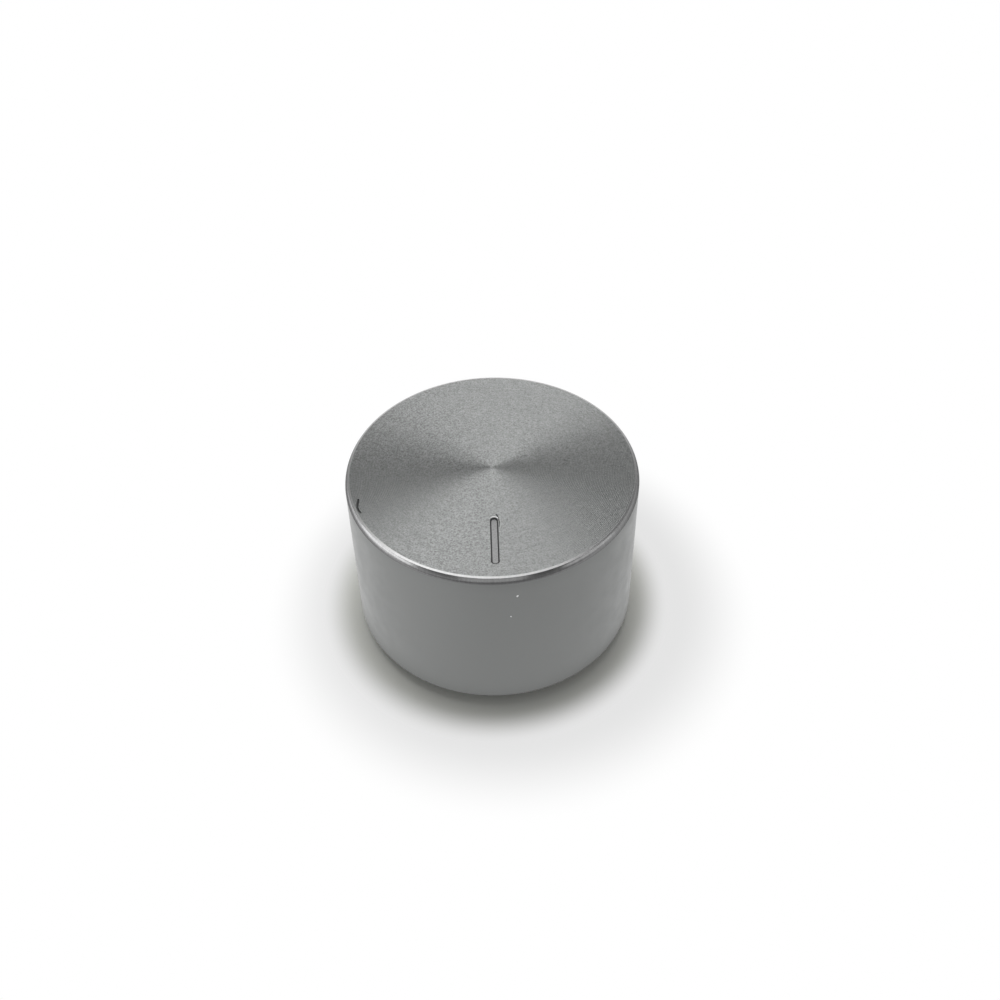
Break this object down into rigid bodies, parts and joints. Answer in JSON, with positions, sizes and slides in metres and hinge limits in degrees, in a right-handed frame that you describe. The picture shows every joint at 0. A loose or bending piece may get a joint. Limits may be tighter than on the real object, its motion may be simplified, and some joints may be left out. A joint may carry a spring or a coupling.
{
  "type": "washing machine knob",
  "caption": "Round control knob: aluminium cap with a turned face, polished rim and pointer slot over a moulded carrier with a D-shaft hub.",
  "frame": {"origin": "on the shaft axis, at the end of the hub that the knob stands on", "axes": "+Z along the shaft axis towards the turned face; the pointer slot lies towards -Y"},
  "size_m": [0.041, 0.041, 0.0267],
  "materials": {
    "cap_aluminium": "turned face, polished rim, fine blasted wall",
    "carrier_plastic": "fine moulded texture",
    "band_steel": "rolled spring strip"
  },
  "bodies": {
    "root": {"cap": "cap_aluminium", "carrier": "carrier_plastic", "spring_band": "band_steel"}
  },
  "joints": []
}
